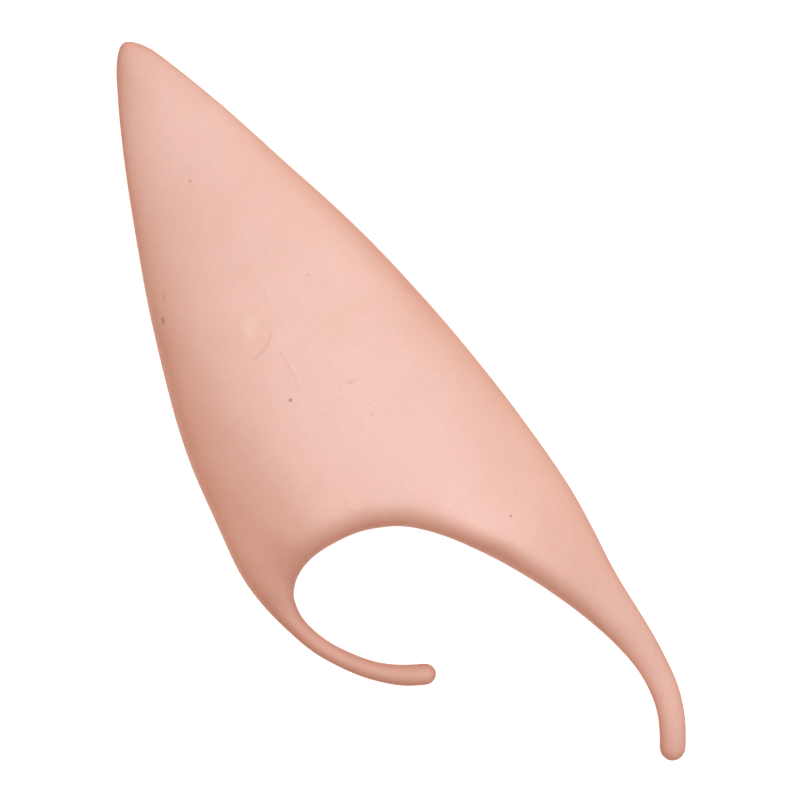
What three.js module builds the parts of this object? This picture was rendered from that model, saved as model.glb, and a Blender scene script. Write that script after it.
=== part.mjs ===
// A slip-on elf ear tip: one soft skin cast hollow in latex, pointed at one end and open at the other,
// with a short hook and a long tail that grip the ear. It lies on its front face with the smooth back
// upwards and the tip towards +Y. Millimetres, +Z up.
//
// The skin is laid out as ribs. Each rib runs from the rim of the mouth over to the outline, and the
// section along it folds round the outline and comes back underneath, outside and inside.

import * as THREE from 'three';

// Outline, seen from above
const bodyWidth = 45.5; // across the widest part
const tipRise = 75.3; // from the crown of the mouth up to the tip
const tipRounding = 3.2; // length over which the tip closes
const heelWidth = 4.1; // skin between the mouth and the side, above the hook
const heelDrop = 7.1; // from the crown of the mouth down to the root of the hook
const hookInset = 2.6; // from the side of the body in to the middle of the hook's root
const strapWidth = 6; // skin between the mouth and the side, where the tail starts
const tailInset = 4.1; // from the side of the body in to the middle of the tail's root
const mouthDrop = 31; // from the crown of the mouth down to where the tail starts
const hookReach = 11.5; // from the root of the hook across to its end
const hookDrop = 15.6; // from the root of the hook down to its end
const hookWidth = 3.15;
const tailDrop = 19.4; // from the start of the tail down to its end
const tailCurl = 3.7; // how far the end of the tail swings in
const tailWidth = 3.8;

// Height above the surface that the ear lies on
const bodyDepth = 17.5; // at the mouth
const tipDepth = 3.8;
const hookDepth = 3;
const tailDepth = 2.9;
const dishDepth = 2.2; // hollow in the front face, which lies downwards

// Skin
const wall = 1.3;
const lipWidth = 4.3; // the rim of the back face starts to turn down this far from its edge
const lipDrop = 4.2; // how far it turns down
const lipTurn = 100; // degrees that it turns through
const lipSoftness = 1; // 1 turns in a round quarter, more starts more gently
const longestLip = 0.45; // share of a short rib that the lip takes at most
const frontSetback = 1.6; // the front face stops this much short of the back face
const creaseDepth = 0.7; // where the two faces close up along the hook and the tail
const creaseAngle = 24; // degrees of the arm's section on each side of the crease
const creaseFade = 1.5; // the crease fades in over this many rows from the end of an arm
const tipFill = 9; // solid latex between the end of the pocket and the tip
const thinnest = 0.15; // least height of the pocket on each side of the outline
const leastPocket = 0.3; // share of a rib behind the lip that the pocket takes at least
const leastSlant = 0.35; // a rib that runs along the outline counts as crossing it at this sine
const tipwards = 0.5; // a rib that rises by more than this share of its length stops at the filled tip
const leastWidth = 0.001; // the body counts as at least this wide, at the very tip too

// Form of a section across the body, which runs from -1 at one side to 1 at the other
const backFullness = 0.46; // 0.5 is an ellipse, less is a fuller back
const outlineHeight = 0.32; // height of the outline as a share of the full depth
const flatShare = 0.74; // the front face lies flat out to here
const dishShare = 0.46; // and is hollow out to here
const depthTaper = 2.8; // how fast the depth falls as the body narrows towards the tip
const crestShift = 15; // this far below the crown the back's crest has moved over to the strap
const crestShare = 0.36; // there it lies this share of the way from the rim to the side

// Rows run from the end of the hook up round the tip to the end of the tail. Depth runs from 0, the
// arm's own height, to 1, the body's. Open runs from 0, a solid arm, to 1, an open mouth.
const hookRows = [
  // across: share of hookReach, down: share of hookDrop, width: share of hookWidth
  { across: 1.0, down: 1.0, width: 1.0, depth: 0, open: 0 },
  { across: 0.768, down: 0.9, width: 0.97, depth: 0, open: 0 },
  { across: 0.482, down: 0.711, width: 0.85, depth: 0, open: 0 },
  { across: 0.263, down: 0.489, width: 0.82, depth: 0, open: 0 },
  { across: 0.101, down: 0.264, width: 0.83, depth: 0, open: 0 },
  { across: 0.0, down: 0.0, width: 0.91, depth: 0.07, open: 0 },
];
const bodyRows = [
  // rimX: share across the mouth, edgeX: share of half the body's width. Above the crown of the mouth
  // y is a share of tipRise, below it a share of heelDrop as far as the crown row, then of mouthDrop.
  { rimX: 0.003, rimY: -0.712, edgeX: -0.987, edgeY: -0.356, depth: 0.2, open: 0.15 },
  { rimX: 0.022, rimY: -0.425, edgeX: -1.0, edgeY: 0.039, depth: 0.42, open: 0.5 },
  { rimX: 0.076, rimY: -0.178, edgeX: -0.95, edgeY: 0.145, depth: 0.68, open: 0.8 },
  { rimX: 0.146, rimY: -0.04, edgeX: -0.872, edgeY: 0.289, depth: 0.88, open: 0.95 },
  { rimX: 0.218, rimY: 0.0, edgeX: -0.704, edgeY: 0.45, depth: 0.97, open: 1 },
  { rimX: 0.283, rimY: -0.003, edgeX: -0.472, edgeY: 0.634, depth: 1, open: 1 },
  { rimX: 0.342, rimY: -0.012, edgeX: -0.216, edgeY: 0.81, depth: 1, open: 1 },
  { rimX: 0.392, rimY: -0.026, edgeX: -0.02, edgeY: 0.925, depth: 1, open: 1 },
  { rimX: 0.434, rimY: -0.044, edgeX: 0.09, edgeY: 0.979, depth: 1, open: 1 },
  { rimX: 0.473, rimY: -0.065, edgeX: 0.184, edgeY: 1.0, depth: 1, open: 1 },
  { rimX: 0.513, rimY: -0.09, edgeX: 0.286, edgeY: 0.972, depth: 1, open: 1 },
  { rimX: 0.557, rimY: -0.128, edgeX: 0.366, edgeY: 0.912, depth: 1, open: 1 },
  { rimX: 0.613, rimY: -0.193, edgeX: 0.495, edgeY: 0.787, depth: 1, open: 1 },
  { rimX: 0.669, rimY: -0.274, edgeX: 0.635, edgeY: 0.628, depth: 1, open: 1 },
  { rimX: 0.723, rimY: -0.368, edgeX: 0.771, edgeY: 0.469, depth: 0.99, open: 1 },
  { rimX: 0.776, rimY: -0.474, edgeX: 0.881, edgeY: 0.298, depth: 0.95, open: 1 },
  { rimX: 0.826, rimY: -0.587, edgeX: 0.947, edgeY: 0.138, depth: 0.86, open: 1 },
  { rimX: 0.871, rimY: -0.7, edgeX: 0.987, edgeY: -0.035, depth: 0.71, open: 1 },
  { rimX: 0.906, rimY: -0.803, edgeX: 1.0, edgeY: -0.342, depth: 0.54, open: 1 },
  { rimX: 0.936, rimY: -0.903, edgeX: 0.982, edgeY: -0.584, depth: 0.37, open: 0.9 },
  { rimX: 0.962, rimY: -1.0, edgeX: 0.952, edgeY: -0.81, depth: 0.21, open: 0.6 },
];
const tailRows = [
  // across: share of tailCurl, down: share of tailDrop, width: share of tailWidth
  { across: -0.035, down: 0.132, width: 1.43, depth: 0.08, open: 0.2 },
  { across: -0.08, down: 0.381, width: 1.15, depth: 0.01, open: 0 },
  { across: 0.081, down: 0.635, width: 1.03, depth: 0, open: 0 },
  { across: 0.459, down: 0.831, width: 0.97, depth: 0, open: 0 },
  { across: 1.0, down: 1.0, width: 0.97, depth: 0, open: 0 },
];

// Steps of the mesh. Each list holds angles in degrees, which crowd the points towards the outline.
const stepsPerRow = 3;
const backAngles = [5, 11, 19, 28, 38, 49, 60, 71, 81, 90];
const frontAngles = [7, 15, 25, 36, 49, 62, 76, 90];
const insideAngles = [8, 18, 30, 43, 56, 69, 80];
const lipShares = [0.2, 0.4, 0.6, 0.8, 1]; // of lipTurn
const endAngles = [45, 90, 135];
const capAngles = [25, 50, 72];

const halfWidth = bodyWidth / 2;
const mouthLeft = -halfWidth + heelWidth;
const mouthRight = halfWidth - strapWidth;
const hookRoot = new THREE.Vector3(-halfWidth + hookInset, -heelDrop, 0);
const tailRoot = new THREE.Vector3(halfWidth - tailInset, -mouthDrop, 0);
const crownIndex = bodyRows.findIndex((row) => row.rimY === 0);
const radians = THREE.MathUtils.degToRad;
const mix = THREE.MathUtils.lerp;
const clamp = THREE.MathUtils.clamp;

function placeArm(rows, root, reach, drop, width, armDepth) {
  const middles = rows.map((row) => {
    const fromRoot = new THREE.Vector3(reach * row.across, -drop * row.down, 0);
    return fromRoot.add(root);
  });
  return rows.map((row, i) => {
    const before = middles[Math.max(i - 1, 0)];
    const after = middles[Math.min(i + 1, rows.length - 1)];
    const along = after.clone().sub(before).normalize();
    const inwards = new THREE.Vector3(along.y, -along.x, 0).multiplyScalar((width * row.width) / 2);
    return {
      rim: middles[i].clone().add(inwards),
      edge: middles[i].clone().sub(inwards),
      depth: row.depth,
      open: row.open,
      armDepth,
    };
  });
}

function placeBody(row, i) {
  const drop = i < crownIndex ? heelDrop : mouthDrop;
  const alongBody = i / (bodyRows.length - 1);
  return {
    rim: new THREE.Vector3(mix(mouthLeft, mouthRight, row.rimX), drop * row.rimY, 0),
    edge: new THREE.Vector3(halfWidth * row.edgeX, (row.edgeY > 0 ? tipRise : drop) * row.edgeY, 0),
    depth: row.depth,
    open: row.open,
    armDepth: mix(hookDepth, tailDepth, alongBody),
  };
}

// Stations: the rows with smooth steps between them
const rows = [
  ...placeArm(hookRows, hookRoot, hookReach, hookDrop, hookWidth, hookDepth),
  ...bodyRows.map(placeBody),
  ...placeArm(tailRows, tailRoot, -tailCurl, tailDrop, tailWidth, tailDepth),
];
const rimCurve = new THREE.CatmullRomCurve3(rows.map((row) => row.rim));
const edgeCurve = new THREE.CatmullRomCurve3(rows.map((row) => row.edge));
const formValues = rows.map((row) => new THREE.Vector3(row.depth, row.open, row.armDepth));
const formCurve = new THREE.CatmullRomCurve3(formValues, false, 'catmullrom');
const stationCount = (rows.length - 1) * stepsPerRow + 1;
const stations = [];
for (let i = 0; i < stationCount; i += 1) {
  const rim = rimCurve.getPoint(i / (stationCount - 1));
  const edge = edgeCurve.getPoint(i / (stationCount - 1));
  const form = formCurve.getPoint(i / (stationCount - 1));
  stations.push({
    rim,
    edge,
    length: rim.distanceTo(edge),
    depth: clamp(form.x, 0, 1),
    open: clamp(form.y, 0, 1),
    armDepth: form.z,
  });
}

// The two sides of the outline, each from its arm up to the tip
const firstBody = hookRows.length * stepsPerRow;
const lastBody = firstBody + (bodyRows.length - 1) * stepsPerRow;
const bodyEdges = stations.slice(firstBody, lastBody + 1).map((station) => station.edge);
const tipY = Math.max(...bodyEdges.map((edge) => edge.y));
const tipIndex = bodyEdges.findIndex((edge) => edge.y === tipY);
const leftSide = bodyEdges.slice(0, tipIndex + 1);
const rightSide = bodyEdges.slice(tipIndex).reverse();
const crownStation = firstBody + crownIndex * stepsPerRow;
const strapRim = stations.slice(crownStation, lastBody + 1).map((station) => station.rim).reverse();

function sideAt(side, y) {
  if (y <= side[0].y) {
    return side[0].x;
  }
  const i = side.findIndex((edge) => edge.y >= y);
  if (i < 0) {
    return side[side.length - 1].x;
  }
  const share = (y - side[i - 1].y) / (side[i].y - side[i - 1].y);
  return mix(side[i - 1].x, side[i].x, share);
}

function widthAt(y) {
  return sideAt(rightSide, y) - sideAt(leftSide, y);
}

// Heights of the outline and of the two faces at one place along a rib
function heightsAt(station, along) {
  const x = mix(station.rim.x, station.edge.x, along);
  const y = mix(station.rim.y, station.edge.y, along);
  const left = sideAt(leftSide, y);
  const right = sideAt(rightSide, y);
  const width = Math.max(right - left, leastWidth);
  const across = clamp(Math.abs((2 * (x - left)) / width - 1), 0, 1);
  const onStrap = THREE.MathUtils.smoothstep(-y, 0, crestShift);
  const crest = mix(right - width / 2, mix(sideAt(strapRim, y), right, crestShare), onStrap);
  const fromCrest = clamp(Math.abs(x - crest) / (right - crest), 0, 1);
  const narrowing = clamp(width / widthAt(0), 0, 1);
  const full = mix(tipDepth, bodyDepth, Math.sin((narrowing * Math.PI) / 2) ** depthTaper);
  const depth = mix(station.armDepth, full, station.depth);
  const fullness = clamp((depth - station.armDepth) / (bodyDepth - station.armDepth), 0, 1);
  const outline = depth * mix(0.5, outlineHeight, fullness);
  const toTip = clamp((tipY - y) / tipRounding, 0, 1);
  const closing = Math.sqrt(1 - (1 - toTip) ** 2);
  const dome = closing * (1 - fromCrest ** 2) ** backFullness;
  const turn = clamp((across - flatShare) / (1 - flatShare), 0, 1);
  const sole = closing * Math.sqrt(1 - turn ** 2);
  const hollow = 1 - clamp(across / dishShare, 0, 1) ** 2;
  const dish = dishDepth * narrowing * station.depth * hollow ** 2;
  return {
    outline,
    back: outline + (depth - outline) * dome,
    front: outline * (1 - sole) + dish,
    insideBack: outline + Math.max(depth - outline - wall, thinnest) * dome,
    insideFront: outline - Math.max(outline - wall, thinnest) * sole + dish,
  };
}

// Sine of the angle at which a rib crosses the rim or the outline
function slantAt(station, i, line) {
  const before = stations[Math.max(i - 1, 0)][line];
  const after = stations[Math.min(i + 1, stationCount - 1)][line];
  const along = after.clone().sub(before).normalize();
  const rib = station.edge.clone().sub(station.rim).normalize();
  return Math.max(Math.abs(rib.cross(along).z), leastSlant);
}

// How far along a rib the pocket reaches: a wall short of the outline, and short of the tip
function pocketLength(station, i) {
  const toOutline = station.length - wall / slantAt(station, i, 'edge');
  const towardsTip = (station.edge.y - station.rim.y) / station.length;
  const toFill = (tipY - tipFill - station.rim.y) / towardsTip;
  return towardsTip > tipwards ? Math.min(toOutline, toFill) : toOutline;
}

// Section of the open body along a rib, as [distance from the rim, height]
function pouchSection(station, i) {
  const { length } = station;
  const slant = slantAt(station, i, 'rim');
  const lip = Math.min(lipWidth / slant, longestLip * length);
  const lipScale = (lip * slant) / lipWidth;
  const drop = lipDrop * lipScale;
  const skin = Math.min(wall, (lip * slant) / 2);
  const setback = (frontSetback * lipScale) / slant;
  const pocket = Math.max(pocketLength(station, i), mix(lip, length, leastPocket));
  // A place between the outline and where the face ends, crowded towards the outline
  const spread = (far, near, angle) => far - (far - near) * (1 - Math.cos(radians(angle)));
  const outer = (face, near) => (angle) => {
    const distance = spread(length, near, angle);
    return [distance, heightsAt(station, distance / length)[face]];
  };
  const inner = (face, near) => (angle) => {
    const distance = spread(pocket, near, angle);
    return [distance, heightsAt(station, distance / pocket)[face]];
  };
  const lipPoint = (inset) => (share) => {
    const angle = radians(share * lipTurn);
    const distance = lip - (lip - inset / slant) * Math.sin(angle);
    const fall = (drop - inset) * (1 - Math.cos(angle)) ** lipSoftness;
    return [distance, heightsAt(station, distance / length).back - inset - fall];
  };
  // A half round from one point to the other, on the side that bulge points to
  const roundEnd = (from, to, bulge) => endAngles.map((angle) => {
    const share = (1 - Math.cos(radians(angle))) / 2;
    const out = Math.sin(radians(angle)) * (skin / 2);
    return [mix(from[0], to[0], share) + bulge[0] * out, mix(from[1], to[1], share) + bulge[1] * out];
  });
  const outerFront = outer('front', setback);
  const innerFront = inner('insideFront', setback);
  const lipOutside = lipShares.map(lipPoint(0));
  const lipInside = [...lipShares].reverse().map(lipPoint(skin));
  return [
    ...[...frontAngles].reverse().map(outerFront),
    [length, heightsAt(station, 1).outline],
    ...backAngles.map(outer('back', lip)),
    ...lipOutside,
    ...roundEnd(lipOutside[lipShares.length - 1], lipInside[0], [0, -1]),
    ...lipInside,
    ...[...insideAngles].reverse().map(inner('insideBack', lip)),
    [pocket, heightsAt(station, 1).outline],
    ...insideAngles.map(innerFront),
    innerFront(90),
    ...roundEnd(innerFront(90), outerFront(90), [-1, 0]),
  ];
}

// Section of a solid arm, with the crease on the side of the mouth. Angles run round from there.
function armSection(station, fade) {
  const half = station.length / 2;
  const rise = mix(station.armDepth, bodyDepth, station.depth) / 2;
  const backCount = backAngles.length + lipShares.length;
  const insideCount = endAngles.length + lipShares.length + insideAngles.length;
  const returnCount = insideAngles.length + 1 + endAngles.length;
  const steps = (from, to, count) => Array.from({ length: count }, (_, k) => mix(from, to, (k + 1) / count));
  const angles = [
    -creaseAngle,
    ...steps(-creaseAngle, -180, frontAngles.length),
    ...steps(180, creaseAngle, backCount + 1).slice(0, -1),
    ...steps(creaseAngle, 0, insideCount + 1),
    ...steps(0, -creaseAngle, returnCount + 1).slice(0, -1),
  ];
  return angles.map((angle) => {
    const inCrease = clamp(1 - Math.abs(angle) / creaseAngle, 0, 1);
    const sunk = fade * creaseDepth * inCrease * (2 - inCrease);
    return [half * (1 - Math.cos(radians(angle))) + sunk, rise * (1 + Math.sin(radians(angle)))];
  });
}

function sectionPoints(station, i) {
  const fromEnd = Math.min(i, stationCount - 1 - i) / stepsPerRow;
  const arm = armSection(station, THREE.MathUtils.smoothstep(fromEnd, 0, creaseFade));
  const pouch = station.open > 0 ? pouchSection(station, i) : arm;
  const shares = arm.map(([distance], k) => mix(distance, pouch[k][0], station.open) / station.length);
  const nearest = Math.min(...shares);
  return arm.map(([, height], k) => {
    const along = (shares[k] - nearest) / (1 - nearest);
    const point = station.rim.clone().lerp(station.edge, along);
    point.z = mix(height, pouch[k][1], station.open);
    return point;
  });
}

// Rounded end of an arm: sections that shrink towards a last point
function capSections(points, station, neighbour) {
  const middle = station.rim.clone().add(station.edge).multiplyScalar(0.5);
  const beside = neighbour.rim.clone().add(neighbour.edge).multiplyScalar(0.5);
  const outwards = middle.clone().sub(beside).normalize().multiplyScalar(station.length / 2);
  middle.z = station.armDepth / 2;
  const shrink = (angle) => points.map((point) => middle.clone()
    .addScaledVector(point.clone().sub(middle), Math.cos(radians(angle)))
    .addScaledVector(outwards, Math.sin(radians(angle))));
  return { sections: capAngles.map(shrink), end: middle.clone().add(outwards) };
}

function buildSkin() {
  const body = stations.map(sectionPoints);
  const hookCap = capSections(body[0], stations[0], stations[1]);
  const tailCap = capSections(body[stationCount - 1], stations[stationCount - 1], stations[stationCount - 2]);
  const sections = [...hookCap.sections.reverse(), ...body, ...tailCap.sections];
  const points = [...sections.flat(), hookCap.end, tailCap.end];
  const around = sections[0].length;
  const lastStart = (sections.length - 1) * around;
  const faces = [];
  for (let k = 0; k < around; k += 1) {
    const next = (k + 1) % around;
    for (let start = 0; start < lastStart; start += around) {
      faces.push(start + k, start + next, start + around + k);
      faces.push(start + next, start + around + next, start + around + k);
    }
    faces.push(points.length - 2, next, k);
    faces.push(points.length - 1, lastStart + k, lastStart + next);
  }
  const geometry = new THREE.BufferGeometry().setFromPoints(points);
  geometry.setIndex(faces);
  geometry.computeBoundingBox();
  const box = geometry.boundingBox;
  geometry.translate(-(box.min.x + box.max.x) / 2, -(box.min.y + box.max.y) / 2, -box.min.z);
  geometry.computeVertexNormals();
  return geometry;
}

const latex = new THREE.MeshStandardMaterial({ color: 0xe3b39f, roughness: 0.55, metalness: 0 });
const skin = new THREE.Mesh(buildSkin(), latex);
skin.name = 'ear_sheath';

const group = new THREE.Group();
group.name = 'elf_ear_tip';
group.add(skin);

export default group;
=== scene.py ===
import math
import bmesh
import bpy
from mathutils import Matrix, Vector


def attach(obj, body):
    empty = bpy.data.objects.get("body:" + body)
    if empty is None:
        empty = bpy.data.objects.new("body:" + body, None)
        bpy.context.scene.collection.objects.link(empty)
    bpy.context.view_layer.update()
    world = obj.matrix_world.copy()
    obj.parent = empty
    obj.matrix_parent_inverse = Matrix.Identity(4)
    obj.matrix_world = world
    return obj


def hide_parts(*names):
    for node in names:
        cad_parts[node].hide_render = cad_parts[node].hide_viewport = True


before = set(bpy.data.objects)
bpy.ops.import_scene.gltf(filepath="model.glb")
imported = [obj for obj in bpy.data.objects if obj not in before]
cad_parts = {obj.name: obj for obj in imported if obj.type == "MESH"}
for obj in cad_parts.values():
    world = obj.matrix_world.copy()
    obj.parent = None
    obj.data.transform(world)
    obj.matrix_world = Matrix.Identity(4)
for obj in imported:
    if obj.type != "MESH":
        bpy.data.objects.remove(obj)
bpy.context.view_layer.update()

mm = 0.001


def srgb(hexColour):
    # hex as read off the photo, turned linear for the shader
    parts = [int(hexColour[i:i + 2], 16) / 255 for i in (1, 3, 5)]
    return [p / 12.92 if p <= 0.04045 else ((p + 0.055) / 1.055) ** 2.4 for p in parts] + [1.0]


def addNode(tree, kind, settings=None, links=None):
    # one node: settings holds its properties and socket values, links its incoming sockets
    node = tree.nodes.new(kind)
    for key, value in (settings or {}).items():
        if isinstance(key, str) and hasattr(node, key):
            setattr(node, key, value)
        else:
            node.inputs[key].default_value = value
    for key, source in (links or {}).items():
        tree.links.new(source, node.inputs[key])
    return node


# camera straight above, turned so that the tip points up and left as in the photo
view = {"x": 9.4 * mm, "y": 0.1 * mm, "height": 700 * mm, "turn": -33, "across": 113 * mm}
camData = bpy.data.cameras.new("camera")
camData.sensor_width = 36
camData.lens = camData.sensor_width * view["height"] / view["across"]
camData.clip_start = 0.01
cam = bpy.data.objects.new("camera", camData)
cam.location = (view["x"], view["y"], view["height"])
cam.rotation_euler.z = math.radians(view["turn"])
bpy.context.collection.objects.link(cam)
bpy.context.scene.camera = cam
print("camera set")


# the ear is the CAD skin, rounded off and given the slight unevenness of a poured skin
def addUnevenness():
    # a Geometry Nodes tree that moves the surface along its normal by two sizes of noise
    tree = bpy.data.node_groups.new("pouredUnevenness", "GeometryNodeTree")
    face = tree.interface
    face.new_socket("Geometry", in_out="INPUT", socket_type="NodeSocketGeometry")
    for name in ("Wave height", "Waves per metre", "Grain height", "Grains per metre", "Seed"):
        face.new_socket(name, in_out="INPUT", socket_type="NodeSocketFloat")
    face.new_socket("Skin", in_out="INPUT", socket_type="NodeSocketMaterial")
    face.new_socket("Geometry", in_out="OUTPUT", socket_type="NodeSocketGeometry")
    given = addNode(tree, "NodeGroupInput").outputs
    place = addNode(tree, "GeometryNodeInputPosition").outputs[0]
    normal = addNode(tree, "GeometryNodeInputNormal").outputs[0]
    moved = []
    for height, scale in (("Wave height", "Waves per metre"), ("Grain height", "Grains per metre")):
        noise = addNode(
            tree, "ShaderNodeTexNoise", {"noise_dimensions": "4D", "Detail": 1.0},
            {"Vector": place, "W": given["Seed"], "Scale": given[scale]})
        centred = addNode(tree, "ShaderNodeMath", {"operation": "SUBTRACT", 1: 0.5}, {0: noise.outputs[0]})
        moved.append(addNode(
            tree, "ShaderNodeMath", {"operation": "MULTIPLY"}, {0: centred.outputs[0], 1: given[height]}))
    both = addNode(tree, "ShaderNodeMath", {"operation": "ADD"}, {0: moved[0].outputs[0], 1: moved[1].outputs[0]})
    offset = addNode(tree, "ShaderNodeVectorMath", {"operation": "SCALE"}, {0: normal, "Scale": both.outputs[0]})
    shaped = addNode(
        tree, "GeometryNodeSetPosition", None, {"Geometry": given["Geometry"], "Offset": offset.outputs[0]})
    real = addNode(tree, "GeometryNodeRealizeInstances", None, {0: shaped.outputs[0]})
    painted = addNode(
        tree, "GeometryNodeSetMaterial", None, {"Geometry": real.outputs[0], "Material": given["Skin"]})
    addNode(tree, "NodeGroupOutput", None, {0: painted.outputs[0]})
    return tree


def makeSkin(latex):
    shape = {
        "weld": 0.001 * mm,
        "flatWithin": 50,  # degrees between two triangles that make one four-sided face
        "levels": 2,
        "hookRoot": (-18.7 * mm, -18.2 * mm),
        "easedWithin": (4.4, 3.8, 3.2, 2.6, 2.0, 1.4),  # mm round the hook's root, for one pass each
        "Wave height": 0.35 * mm,
        "Waves per metre": 1 / (22 * mm),
        "Grain height": 0.05 * mm,
        "Grains per metre": 1 / (4 * mm),
        "Seed": 4.0,
    }
    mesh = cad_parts["ear_sheath"].data.copy()
    bm = bmesh.new()
    bm.from_mesh(mesh)
    bmesh.ops.remove_doubles(bm, verts=bm.verts, dist=shape["weld"])
    bmesh.ops.join_triangles(
        bm, faces=bm.faces, angle_face_threshold=math.radians(shape["flatWithin"]), angle_shape_threshold=math.pi)
    # the rim flows into the hook without a corner
    root = Vector(shape["hookRoot"])
    for reach in shape["easedWithin"]:
        near = [v for v in bm.verts if (v.co.xy - root).length < reach * mm]
        bmesh.ops.smooth_vert(bm, verts=near, factor=0.5, use_axis_x=True, use_axis_y=True, use_axis_z=True)
    bm.to_mesh(mesh)
    bm.free()
    draft = bpy.data.objects.new("draft", mesh)
    bpy.context.collection.objects.link(draft)
    rounded = draft.modifiers.new("rounded", "SUBSURF")
    rounded.levels = rounded.render_levels = shape["levels"]
    uneven = draft.modifiers.new("uneven", "NODES")
    uneven.node_group = addUnevenness()
    for item in uneven.node_group.interface.items_tree:
        if item.in_out == "INPUT" and item.name in shape:
            uneven[item.identifier] = shape[item.name]
        elif item.name == "Skin":
            uneven[item.identifier] = latex
    evaluated = draft.evaluated_get(bpy.context.evaluated_depsgraph_get())
    done = bpy.data.meshes.new_from_object(evaluated)
    draft.modifiers.clear()
    bpy.data.objects.remove(draft)
    skin = bpy.data.objects.new("latex_skin", done)
    bpy.context.collection.objects.link(skin)
    done.polygons.foreach_set("use_smooth", [True] * len(done.polygons))
    return skin


# poured skin-toned latex, matt and slightly waxy
def surfaceAt(x, y):
    # the point of the back face above a place on the table, given in mm
    above, down = Vector((x * mm, y * mm, 0.1)), Vector((0, 0, -1))
    _, point, _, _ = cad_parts["ear_sheath"].ray_cast(above, down)
    return point


def addMark(tree, place, mark):
    # a soft-edged oval at one place of the surface, as a mask from 0 to its strength
    middle = surfaceAt(*mark["at"])
    away = addNode(tree, "ShaderNodeVectorMath", {"operation": "SUBTRACT", 1: middle}, {0: place}).outputs[0]
    turned = addNode(
        tree, "ShaderNodeVectorRotate",
        {"rotation_type": "Z_AXIS", "Angle": -math.radians(mark["turn"])},
        {0: away}).outputs[0]
    long, wide = (half * mm for half in mark["size"])
    scaled = addNode(
        tree, "ShaderNodeVectorMath", {"operation": "DIVIDE", 1: (long, wide, long)}, {0: turned}).outputs[0]
    reach = addNode(tree, "ShaderNodeVectorMath", {"operation": "LENGTH"}, {0: scaled}).outputs[1]
    return addNode(
        tree, "ShaderNodeMapRange",
        {
            "interpolation_type": "SMOOTHSTEP",
            "From Min": 0.1,
            "From Max": 1.0,
            "To Min": mark["strength"],
            "To Max": 0.0,
        },
        {"Value": reach}).outputs[0]


def addCrease(tree, place, crease):
    # a short thin arc, pressed in when the skin was pulled off the mould, with painted shade in its groove
    middle = surfaceAt(*crease["middle"])
    centre = surfaceAt(*crease["centre"])
    fromCentre = addNode(tree, "ShaderNodeVectorMath", {"operation": "SUBTRACT", 1: centre}, {0: place}).outputs[0]
    flat = addNode(tree, "ShaderNodeVectorMath", {"operation": "MULTIPLY", 1: (1, 1, 0)}, {0: fromCentre}).outputs[0]
    radius = addNode(tree, "ShaderNodeVectorMath", {"operation": "LENGTH"}, {0: flat}).outputs[1]
    off = addNode(tree, "ShaderNodeMath", {"operation": "SUBTRACT", 1: crease["radius"] * mm}, {0: radius}).outputs[0]
    away = addNode(tree, "ShaderNodeMath", {"operation": "ABSOLUTE"}, {0: off}).outputs[0]
    line = addNode(
        tree, "ShaderNodeMapRange",
        {
            "interpolation_type": "SMOOTHSTEP",
            "From Max": crease["width"] * mm,
            "To Min": crease["strength"],
            "To Max": 0.0,
        },
        {"Value": away}).outputs[0]
    along = addNode(tree, "ShaderNodeVectorMath", {"operation": "DISTANCE", 1: middle}, {0: place}).outputs[1]
    fade = addNode(
        tree, "ShaderNodeMapRange",
        {
            "interpolation_type": "SMOOTHSTEP",
            "From Min": crease["fadeFrom"] * mm,
            "From Max": crease["fadeTo"] * mm,
            "To Min": 1.0,
            "To Max": 0.0,
        },
        {"Value": along}).outputs[0]
    return addNode(tree, "ShaderNodeMath", {"operation": "MULTIPLY"}, {0: line, 1: fade}).outputs[0]


# places on the back face in mm, sizes as half lengths in mm, read off the photo
darkMarks = [
    {"at": (-3.3, 8.3), "size": (0.44, 0.40), "turn": 0, "strength": 0.62},  # pinhole, the darkest, with painted shade in it
    {"at": (-12.3, 27.4), "size": (0.78, 0.55), "turn": 70, "strength": 0.48},  # pinhole by the left side, with painted shade in it
    {"at": (-10.4, 30.0), "size": (0.9, 0.34), "turn": 60, "strength": 0.18},
    {"at": (1.5, 41.7), "size": (0.46, 0.4), "turn": 0, "strength": 0.3},
    {"at": (13.5, -21.7), "size": (0.38, 0.34), "turn": 0, "strength": 0.5},  # pinhole above the tail, with painted shade in it
    {"at": (5.2, 5.9), "size": (1.3, 0.5), "turn": -18, "strength": 0.14},  # rubbed smudge
    {"at": (3.6, 6.1), "size": (0.5, 0.26), "turn": 0, "strength": 0.09},
    {"at": (5.1, 0.6), "size": (0.34, 0.24), "turn": 30, "strength": 0.28},
    {"at": (5.6, 2.0), "size": (0.26, 0.2), "turn": 0, "strength": 0.18},
    {"at": (8.1, 21.6), "size": (0.46, 0.38), "turn": 0, "strength": 0.17},
]
highlightMarks = [
    {"at": (-2.6, 19.8), "size": (3.0, 1.8), "turn": 50, "strength": 0.38},  # painted highlight on a slight bump beside the crease
]
# painted shade where the latex is solid: the tone deepens along a direction, from one place to another in mm
solidParts = [
    {"along": (1.2, 1, 0), "from": -26, "to": -50, "share": 1.0},  # hook, and the end of the tail
    {"along": (0, 1, 0), "from": -27, "to": -50, "share": 0.5},  # tail
    {"along": (0, 1, 0), "from": 46, "to": 66, "share": 0.5},  # tip
]
# the arc is whole up to fadeFrom from its middle and gone at fadeTo
crease = {
    "middle": (-2.3, 16.5),
    "centre": (-4.2, 20.7),
    "radius": 4.8,
    "width": 0.28,
    "fadeFrom": 1.2,
    "fadeTo": 2.9,
    "strength": 0.14,
}


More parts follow.
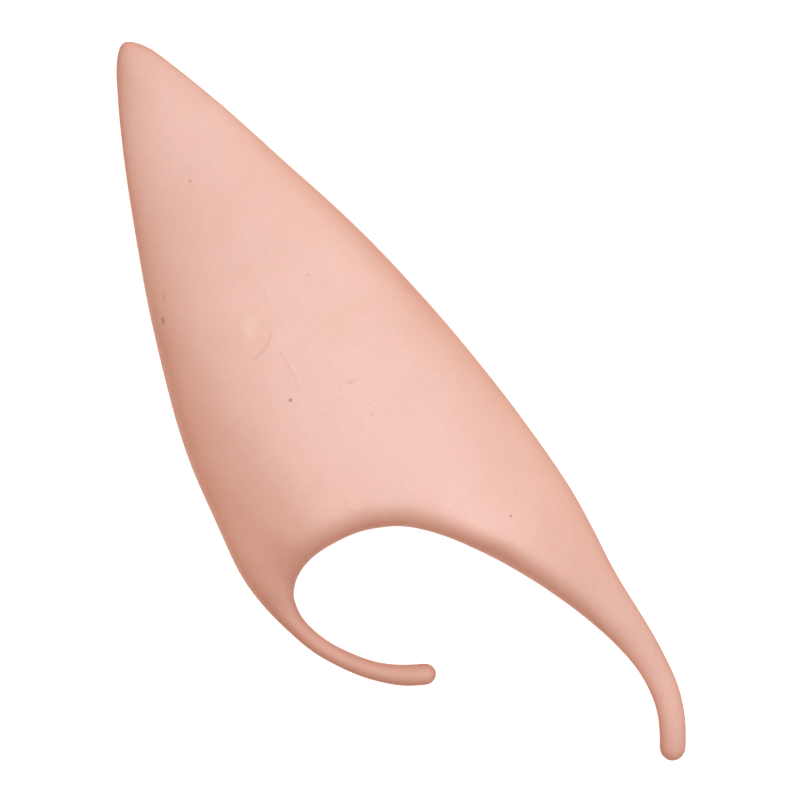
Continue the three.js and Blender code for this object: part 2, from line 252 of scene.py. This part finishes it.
def makeLatex():
    look = {
        "crest": "#E9C1B5",  # painted light: the top, where it faces the lamp
        "side": "#CB8C72",  # painted shade: the flanks, tan where they turn away from the lamp
        "crestwards": (0.12, 0.0, 0.99),  # the way the painted light faces
        "leanFrom": 0.5,  # how far the surface faces crestwards where it is all painted shade, and all painted light
        "leanTo": 1.09,
        "borderSize": 14 * mm,  # the border between the two wavers in waves of this size
        "borderShift": 0.15,
        "drift": "#DBA68F",
        "driftSize": 12 * mm,
        "driftShare": 0.25,
        "solid": (0.79, 0.69, 0.63, 1),  # painted shade: solid latex lets no light through and looks deeper
        # the rim's lip faces this way, away from the lamp, and is painted in shade
        "mouthward": (-0.3, -0.95, 0.0),
        "rimShade": 0.36,
        "grainSize": 0.7 * mm,
        "grainTone": (0.98, 1.02),
        # painted highlight
        "highlightTone": "#F2D3C6",
        # painted shade in the pits and crease, and the smudge's dirt
        "pitShadeAndSmudge": "#7A4638",
        "pitDepth": 3.0,  # times the height of the grain
        "relief": 0.05 * mm,
        "roughness": 0.58,
        "through": (2.4 * mm, 0.9 * mm, 0.5 * mm),  # how far red, green and blue light travels in it
    }
    mat = bpy.data.materials.new("poured_latex")
    mat.use_nodes = True
    tree = mat.node_tree
    tree.nodes.clear()
    coords = addNode(tree, "ShaderNodeTexCoord").outputs
    place = coords["Object"]

    # painted shade on the flanks and painted light on the top, by how the surface leans, with an uneven border
    facing = addNode(
        tree, "ShaderNodeVectorMath", {"operation": "DOT_PRODUCT", 1: look["crestwards"]},
        {0: coords["Normal"]}).outputs[1]
    border = addNode(
        tree, "ShaderNodeTexNoise", {"Scale": 1 / look["borderSize"], "Detail": 2.0}, {"Vector": place}).outputs[0]
    nudged = addNode(
        tree, "ShaderNodeMath", {"operation": "MULTIPLY_ADD", 1: look["borderShift"]},
        {0: border, 2: facing}).outputs[0]
    lean = addNode(
        tree, "ShaderNodeMapRange", {"From Min": look["leanFrom"], "From Max": look["leanTo"]},
        {"Value": nudged}).outputs[0]
    sides = addNode(
        tree, "ShaderNodeMix", {"data_type": "RGBA", 6: srgb(look["side"]), 7: srgb(look["crest"])},
        {0: lean}).outputs[2]

    # pigment that drifted while the skin dried, in patches
    patches = addNode(
        tree, "ShaderNodeTexNoise", {"Scale": 1 / look["driftSize"], "Detail": 2.5, "Roughness": 0.55},
        {"Vector": place}).outputs[0]
    patchMask = addNode(
        tree, "ShaderNodeMapRange", {"From Min": 0.45, "From Max": 0.72, "To Max": look["driftShare"]},
        {"Value": patches}).outputs[0]
    drifted = addNode(
        tree, "ShaderNodeMix", {"data_type": "RGBA", 7: srgb(look["drift"])}, {0: patchMask, 6: sides}).outputs[2]

    # painted shade on the solid hook, tail end and tip, and on the rim's lip where it faces away from the lamp
    towardsMouth = addNode(
        tree, "ShaderNodeVectorMath", {"operation": "DOT_PRODUCT", 1: look["mouthward"]},
        {0: coords["Normal"]}).outputs[1]
    paintedShade = addNode(
        tree, "ShaderNodeMapRange",
        {"interpolation_type": "SMOOTHSTEP", "From Min": 0.12, "From Max": 0.75, "To Max": look["rimShade"]},
        {"Value": towardsMouth}).outputs[0]
    for part in solidParts:
        reach = addNode(
            tree, "ShaderNodeVectorMath", {"operation": "DOT_PRODUCT", 1: part["along"]}, {0: place}).outputs[1]
        share = addNode(
            tree, "ShaderNodeMapRange",
            {
                "interpolation_type": "SMOOTHSTEP",
                "From Min": part["from"] * mm,
                "From Max": part["to"] * mm,
                "To Max": part["share"],
            },
            {"Value": reach}).outputs[0]
        paintedShade = addNode(tree, "ShaderNodeMath", {"operation": "MAXIMUM"}, {0: paintedShade, 1: share}).outputs[0]
    shaded = addNode(
        tree, "ShaderNodeMix", {"data_type": "RGBA", "blend_type": "MULTIPLY", 7: look["solid"]},
        {0: paintedShade, 6: drifted}).outputs[2]

    # grain under a millimetre
    grain = addNode(
        tree, "ShaderNodeTexNoise", {"Scale": 1 / look["grainSize"], "Detail": 2.0, "Roughness": 0.6},
        {"Vector": place}).outputs[0]
    darkest, lightest = look["grainTone"]
    grainTone = addNode(
        tree, "ShaderNodeMapRange", {"From Min": 0.3, "From Max": 0.7, "To Min": darkest, "To Max": lightest},
        {"Value": grain}).outputs[0]
    colour = addNode(
        tree, "ShaderNodeMix", {"data_type": "RGBA", "blend_type": "MULTIPLY", 0: 1.0},
        {6: shaded, 7: grainTone}).outputs[2]

    # painted shade in the pinholes, nick and crease; the smudge is rubbed-in dirt
    dark = addCrease(tree, place, crease)
    for mark in darkMarks:
        spot = addMark(tree, place, mark)
        dark = addNode(tree, "ShaderNodeMath", {"operation": "MAXIMUM"}, {0: dark, 1: spot}).outputs[0]
    for mark in highlightMarks:
        spot = addMark(tree, place, mark)
        colour = addNode(
            tree, "ShaderNodeMix", {"data_type": "RGBA", 7: srgb(look["highlightTone"])}, {0: spot, 6: colour}).outputs[2]
    marked = addNode(
        tree, "ShaderNodeMix", {"data_type": "RGBA", 7: srgb(look["pitShadeAndSmudge"])}, {0: dark, 6: colour}).outputs[2]

    relief = addNode(
        tree, "ShaderNodeMath", {"operation": "MULTIPLY_ADD", 1: -look["pitDepth"]}, {0: dark, 2: grain}).outputs[0]
    bump = addNode(
        tree, "ShaderNodeBump", {"Strength": 0.3, "Distance": look["relief"]}, {"Height": relief}).outputs[0]
    bsdf = addNode(
        tree, "ShaderNodeBsdfPrincipled",
        {
            "Roughness": look["roughness"],
            "IOR": 1.52,
            "Subsurface Weight": 0.3,
            "Subsurface Radius": look["through"],
            "Subsurface Scale": 1.0,
            "Specular IOR Level": 0.35,
        },
        {"Base Color": marked, "Normal": bump})
    addNode(tree, "ShaderNodeOutputMaterial", None, {"Surface": bsdf.outputs[0]})
    return mat


latex = makeLatex()
skin = makeSkin(latex)
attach(skin, "root")
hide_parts("ear_sheath")
print("ear made,", len(skin.data.polygons), "faces")


# white table, bright enough to bleach out as in the photo, and soft light from the upper right
def makeTable():
    half = 3.0
    mesh = bpy.data.meshes.new("table")
    corners = [(-half, -half, 0), (half, -half, 0), (half, half, 0), (-half, half, 0)]
    mesh.from_pydata(corners, [], [(0, 1, 2, 3)])
    table = bpy.data.objects.new("table", mesh)
    table.location.z = -0.1 * mm
    bpy.context.collection.objects.link(table)
    mat = bpy.data.materials.new("opal_acrylic")
    mat.use_nodes = True
    surface = mat.node_tree.nodes["Principled BSDF"].inputs
    surface["Base Color"].default_value = srgb("#BEBEBE")
    surface["Roughness"].default_value = 0.8
    surface["Emission Color"].default_value = (1, 1, 1, 1)  # opal acrylic lit from below
    surface["Emission Strength"].default_value = 0.8
    mesh.materials.append(mat)
    return table


def addLight(name, at, size, power, colour="#FFFFFF"):
    data = bpy.data.lights.new(name, "AREA")
    data.color = srgb(colour)[:3]
    data.shape = "SQUARE"
    data.size = size
    data.energy = power
    light = bpy.data.objects.new(name, data)
    light.location = at
    light.rotation_euler = (Vector((0, 0, 0.01)) - Vector(at)).to_track_quat("-Z", "Y").to_euler()
    bpy.context.collection.objects.link(light)


makeTable()
addLight("soft_top", (0.15, 0.05, 1.1), 0.7, 8.6)
addLight("soft_right", (0.8, 0.2, 0.62), 0.5, 2.3)
addLight("warm_bounce", (-0.5, -0.15, 0.2), 0.3, 0.36, "#FFB27A")  # skin tone thrown back from low on the left
world = bpy.data.worlds.new("studio")
world.use_nodes = True
world.node_tree.nodes["Background"].inputs["Color"].default_value = (1, 1, 1, 1)
world.node_tree.nodes["Background"].inputs["Strength"].default_value = 0.3
bpy.context.scene.world = world
bpy.context.scene.view_settings.view_transform = "Standard"
print("table and lights set")
